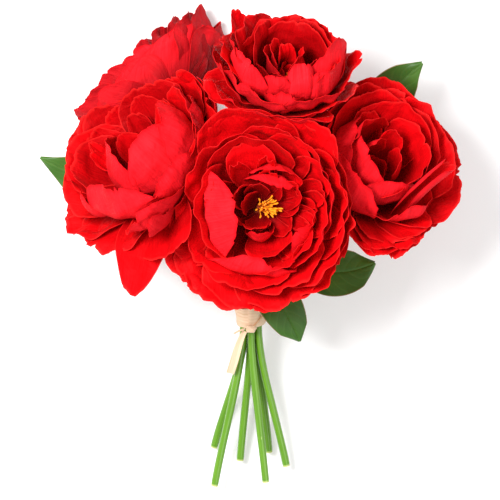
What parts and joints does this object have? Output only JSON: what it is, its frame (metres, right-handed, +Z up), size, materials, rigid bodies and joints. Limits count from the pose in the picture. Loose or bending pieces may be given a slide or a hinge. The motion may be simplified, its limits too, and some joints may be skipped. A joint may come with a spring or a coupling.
{
  "type": "bunch of artificial peonies",
  "caption": "Tied bunch of red fabric peonies on green plastic stems with leaves, lying on its back.",
  "frame": {"origin": "on the surface that the bunch lies on, under the middle of its box", "axes": "+Y from the cut stem ends to the flower heads, +Z up, away from the surface, +X to the right of the bunch seen from above"},
  "size_m": [0.2642, 0.302, 0.1492],
  "materials": {
    "petal_fabric": "heat-moulded woven polyester, matt with a soft sheen and frayed edges",
    "stem_plastic": "moulded over wire, smooth and slightly glossy",
    "leaf_plastic": "coated fabric with pressed veins, satin",
    "stamen_plastic": "moulded threads, matt",
    "raffia": "dry flat plant fibre with long streaks"
  },
  "bodies": {
    "root": {"front_heart_petals": "petal_fabric", "front_inner_petals": "petal_fabric", "front_cup_petals": "petal_fabric", "front_outer_petals": "petal_fabric", "front_guard_petals": "petal_fabric", "front_calyx": "stem_plastic", "front_stamens": "stamen_plastic", "front_stem": "stem_plastic", "left_heart_petals": "petal_fabric", "left_inner_petals": "petal_fabric", "left_cup_petals": "petal_fabric", "left_outer_petals": "petal_fabric", "left_guard_petals": "petal_fabric", "left_calyx": "stem_plastic", "left_stamens": "stamen_plastic", "left_stem": "stem_plastic", "right_heart_petals": "petal_fabric", "right_inner_petals": "petal_fabric", "right_cup_petals": "petal_fabric", "right_outer_petals": "petal_fabric", "right_guard_petals": "petal_fabric", "right_calyx": "stem_plastic", "right_stamens": "stamen_plastic", "right_stem": "stem_plastic", "top_heart_petals": "petal_fabric", "top_inner_petals": "petal_fabric", "top_cup_petals": "petal_fabric", "top_outer_petals": "petal_fabric", "top_guard_petals": "petal_fabric", "top_calyx": "stem_plastic", "top_stamens": "stamen_plastic", "top_stem": "stem_plastic", "back_left_heart_petals": "petal_fabric", "back_left_inner_petals": "petal_fabric", "back_left_cup_petals": "petal_fabric", "back_left_outer_petals": "petal_fabric", "back_left_guard_petals": "petal_fabric", "back_left_calyx": "stem_plastic", "back_left_stamens": "stamen_plastic", "back_left_stem": "stem_plastic", "back_right_heart_petals": "petal_fabric", "back_right_inner_petals": "petal_fabric", "back_right_cup_petals": "petal_fabric", "back_right_outer_petals": "petal_fabric", "back_right_guard_petals": "petal_fabric", "back_right_calyx": "stem_plastic", "back_right_stamens": "stamen_plastic", "back_right_stem": "stem_plastic", "left_leaf": "leaf_plastic", "upper_right_leaf": "leaf_plastic", "lower_right_leaf": "leaf_plastic", "bottom_leaf": "leaf_plastic", "raffia_wrap": "raffia", "raffia_knot": "raffia", "raffia_long_tail": "raffia", "raffia_short_tail": "raffia"}
  },
  "joints": []
}
